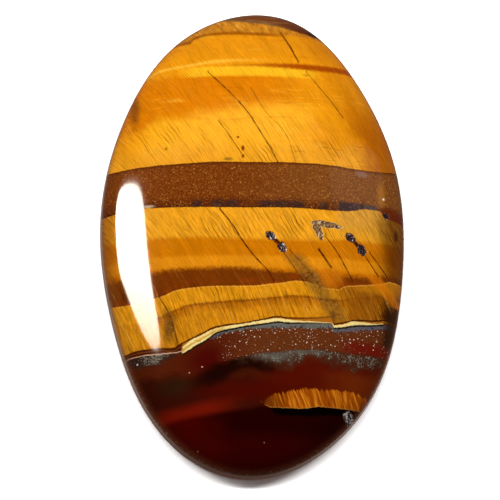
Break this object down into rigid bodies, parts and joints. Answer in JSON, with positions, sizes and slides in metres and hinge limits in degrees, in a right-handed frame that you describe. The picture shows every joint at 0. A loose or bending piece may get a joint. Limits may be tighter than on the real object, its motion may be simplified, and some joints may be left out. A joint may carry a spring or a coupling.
{
  "type": "tigers eye cabochon",
  "caption": "Oval polished tiger's eye cabochon: domed face, flat back, gold, brown, grey and maroon bands across it, small pits in the polish.",
  "frame": {"origin": "middle of the flat back, at the centre of the box around the stone", "axes": "+Y along the oval's long axis towards its gold end, +X across the oval, +Z out of the domed face"},
  "size_m": [0.0322, 0.05, 0.007],
  "materials": {
    "tigers_eye": "polished"
  },
  "bodies": {
    "root": {"cabochon": "tigers_eye"}
  },
  "joints": []
}
